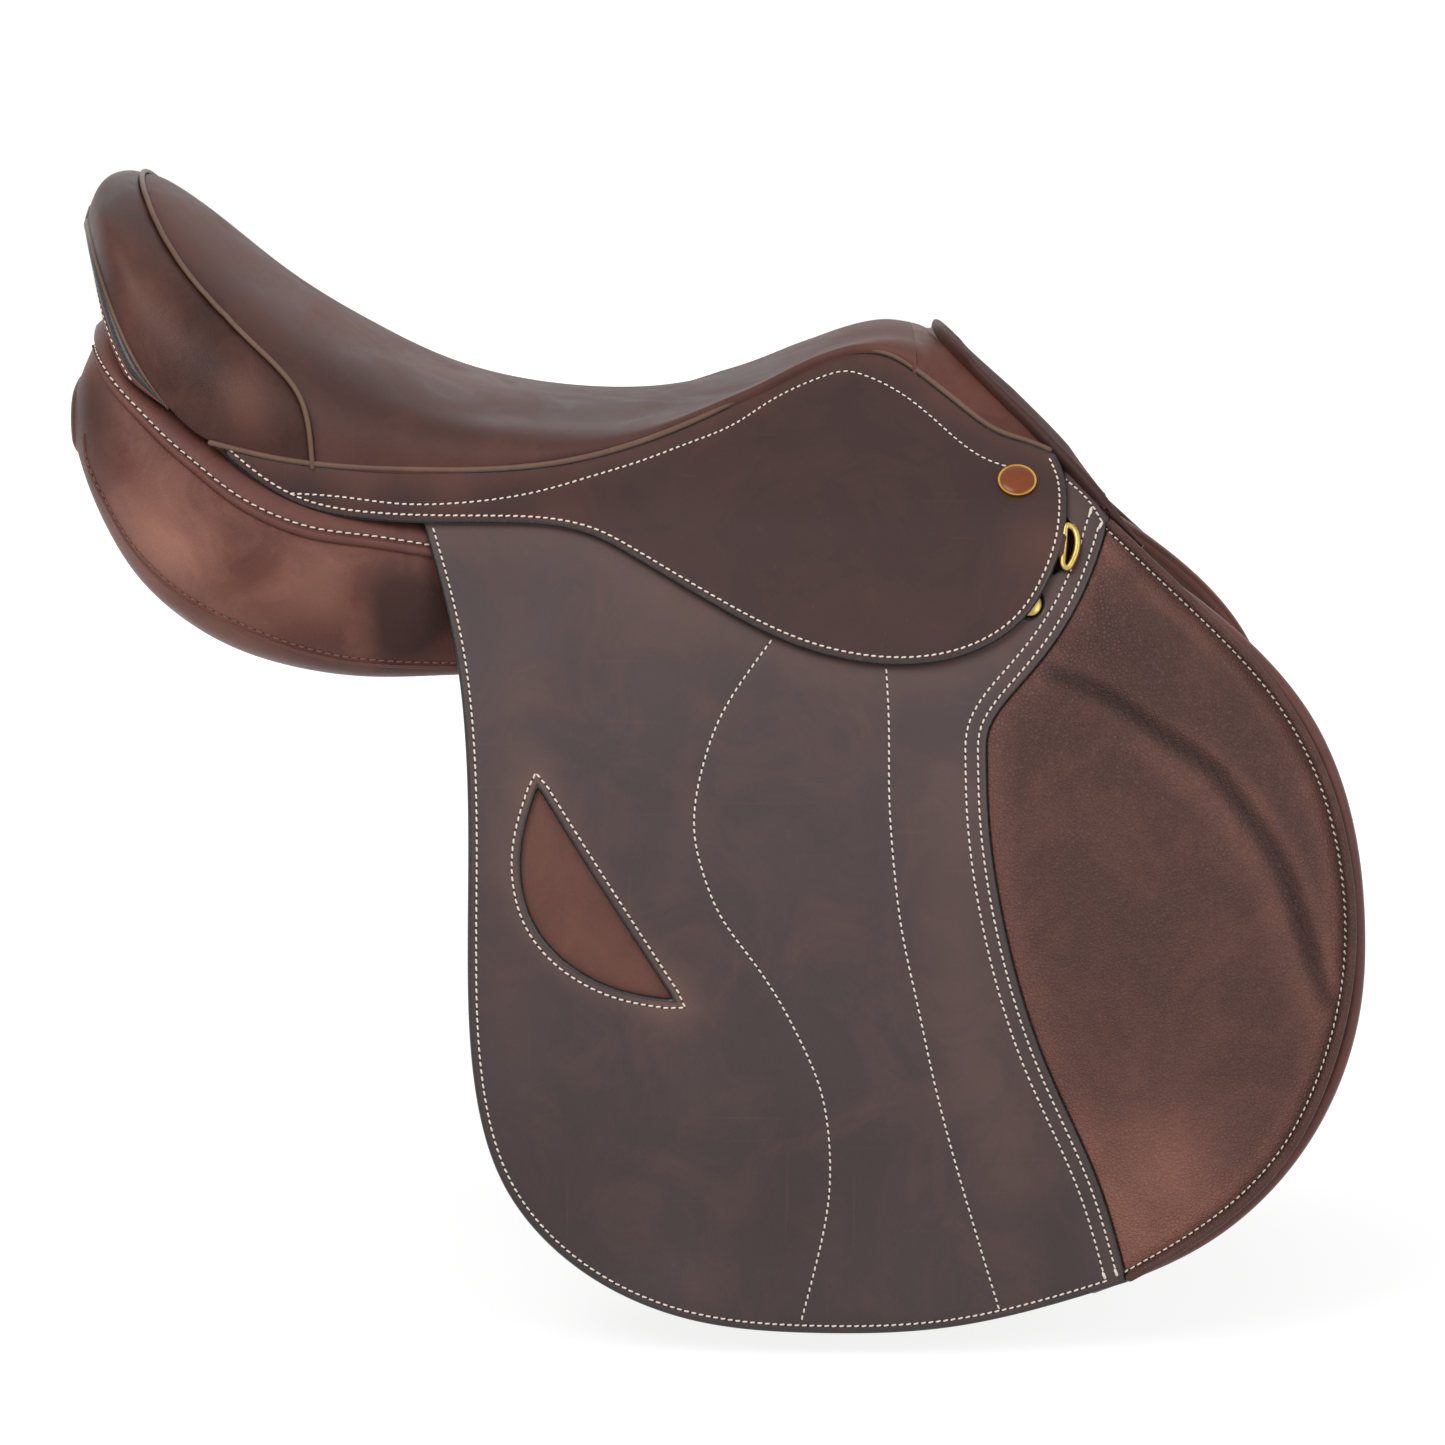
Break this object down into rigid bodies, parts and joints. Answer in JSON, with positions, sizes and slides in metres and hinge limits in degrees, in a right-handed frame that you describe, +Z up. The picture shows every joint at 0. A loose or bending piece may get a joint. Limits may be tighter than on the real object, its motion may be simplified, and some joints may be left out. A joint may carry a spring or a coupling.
{
  "type": "english saddle",
  "caption": "Close-contact jumping saddle with forward flaps, knee pads, stuffed panels and lifting skirts, on a sprung wooden tree.",
  "frame": {"origin": "on the midplane below the deepest point of the seat, on the plane that the rear panels bear on", "axes": "+X towards the horse's head, +Y to the saddle's left side, +Z up"},
  "size_m": [0.5776, 0.325, 0.5088],
  "materials": {
    "wood": "varnished beech",
    "steel": "forged and plated",
    "webbing": "woven flax web",
    "foam": "dense cellular foam",
    "seat_leather": "waxed leather, burnished at the edges",
    "calf_leather": "soft grained calf",
    "flap_leather": "waxed bridle leather with black edges",
    "lining_leather": "plain lining leather",
    "strap_leather": "oiled strap leather",
    "piping": "bronze piping",
    "edge_leather": "black edge paint",
    "brass": "polished",
    "enamel": "orange enamel under clear resin"
  },
  "bodies": {
    "root": {"bar_rivets": "steel", "billet_web_left": "webbing", "billet_web_right": "webbing", "cantle_binding": "edge_leather", "cantle_facing": "calf_leather", "d_ring_chapes": "edge_leather", "edge_roll_left": "calf_leather", "edge_roll_right": "calf_leather", "flap_studs": "brass", "flap_top_left": "flap_leather", "flap_top_right": "flap_leather", "front_roll": "calf_leather", "gullet_plate": "steel", "head_plate": "steel", "knee_block_left": "foam", "knee_block_right": "foam", "knee_pad_top_left": "calf_leather", "knee_pad_top_right": "calf_leather", "nail_caps": "enamel", "panel_facing_left": "calf_leather", "panel_facing_right": "calf_leather", "panel_left": "calf_leather", "panel_right": "calf_leather", "point_pocket_left": "lining_leather", "point_pocket_right": "lining_leather", "pommel_facing": "calf_leather", "saddle_nails": "brass", "seat_cover": "seat_leather", "seat_foam": "foam", "seat_piping": "piping", "seat_webs": "webbing", "skirt_top_left": "flap_leather", "skirt_top_right": "flap_leather", "skirt_welt_left": "piping", "skirt_welt_right": "piping", "spring_steels": "steel", "stirrup_bar_left": "steel", "stirrup_bar_right": "steel", "sweat_flap_left": "calf_leather", "sweat_flap_right": "calf_leather", "tree": "wood", "tree_rivets": "steel"},
    "flap_right": {"flap_right": "flap_leather", "flap_lining_right": "lining_leather", "knee_pad_right": "calf_leather"},
    "skirt_right": {"skirt_right": "flap_leather"},
    "bar_catch_right": {"bar_catch_right": "steel"},
    "d_ring_right": {"d_ring_right": "brass"},
    "billet_front_right": {"billet_front_right": "strap_leather"},
    "billet_middle_right": {"billet_middle_right": "strap_leather"},
    "billet_rear_right": {"billet_rear_right": "strap_leather"},
    "flap_left": {"flap_left": "flap_leather", "flap_lining_left": "lining_leather", "knee_pad_left": "calf_leather"},
    "skirt_left": {"skirt_left": "flap_leather"},
    "bar_catch_left": {"bar_catch_left": "steel"},
    "d_ring_left": {"d_ring_left": "brass"},
    "billet_front_left": {"billet_front_left": "strap_leather"},
    "billet_middle_left": {"billet_middle_left": "strap_leather"},
    "billet_rear_left": {"billet_rear_left": "strap_leather"}
  },
  "joints": [
    {"name": "flap_lift_right", "type": "hinge", "parent": "root", "child": "flap_right", "pos_m": [0.1, -0.1403, 0.008], "axis": [-1, 0, 0], "range_deg": [0, 85]},
    {"name": "skirt_lift_right", "type": "hinge", "parent": "root", "child": "skirt_right", "pos_m": [0.11, -0.1177, 0.068], "axis": [-1, 0, 0], "range_deg": [0, 75]},
    {"name": "catch_turn_right", "type": "hinge", "parent": "root", "child": "bar_catch_right", "pos_m": [0.1, -0.115, 0.048], "axis": [0, -1, 0], "range_deg": [0, 80]},
    {"name": "d_ring_swing_right", "type": "hinge", "parent": "root", "child": "d_ring_right", "pos_m": [0.2137, -0.11646, 0.0645], "axis": [0, -0.395, -0.9187], "range_deg": [0, 95]},
    {"name": "billet_front_swing_right", "type": "hinge", "parent": "root", "child": "billet_front_right", "pos_m": [0.08, -0.1072, 0.058], "axis": [0, 1, 0], "range_deg": [-2.5, 2.5]},
    {"name": "billet_middle_swing_right", "type": "hinge", "parent": "root", "child": "billet_middle_right", "pos_m": [0.04, -0.1072, 0.058], "axis": [0, 1, 0], "range_deg": [-2.5, 2.5]},
    {"name": "billet_rear_swing_right", "type": "hinge", "parent": "root", "child": "billet_rear_right", "pos_m": [0, -0.1072, 0.058], "axis": [0, 1, 0], "range_deg": [-2.5, 2.5]},
    {"name": "flap_lift_left", "type": "hinge", "parent": "root", "child": "flap_left", "pos_m": [0.1, 0.1403, 0.008], "axis": [1, 0, 0], "range_deg": [0, 85]},
    {"name": "skirt_lift_left", "type": "hinge", "parent": "root", "child": "skirt_left", "pos_m": [0.11, 0.1177, 0.068], "axis": [1, 0, 0], "range_deg": [0, 75]},
    {"name": "catch_turn_left", "type": "hinge", "parent": "root", "child": "bar_catch_left", "pos_m": [0.1, 0.115, 0.048], "axis": [0, -1, 0], "range_deg": [0, 80]},
    {"name": "d_ring_swing_left", "type": "hinge", "parent": "root", "child": "d_ring_left", "pos_m": [0.2137, 0.11646, 0.0645], "axis": [0, -0.395, 0.9187], "range_deg": [0, 95]},
    {"name": "billet_front_swing_left", "type": "hinge", "parent": "root", "child": "billet_front_left", "pos_m": [0.08, 0.1072, 0.058], "axis": [0, 1, 0], "range_deg": [-2.5, 2.5]},
    {"name": "billet_middle_swing_left", "type": "hinge", "parent": "root", "child": "billet_middle_left", "pos_m": [0.04, 0.1072, 0.058], "axis": [0, 1, 0], "range_deg": [-2.5, 2.5]},
    {"name": "billet_rear_swing_left", "type": "hinge", "parent": "root", "child": "billet_rear_left", "pos_m": [0, 0.1072, 0.058], "axis": [0, 1, 0], "range_deg": [-2.5, 2.5]}
  ]
}
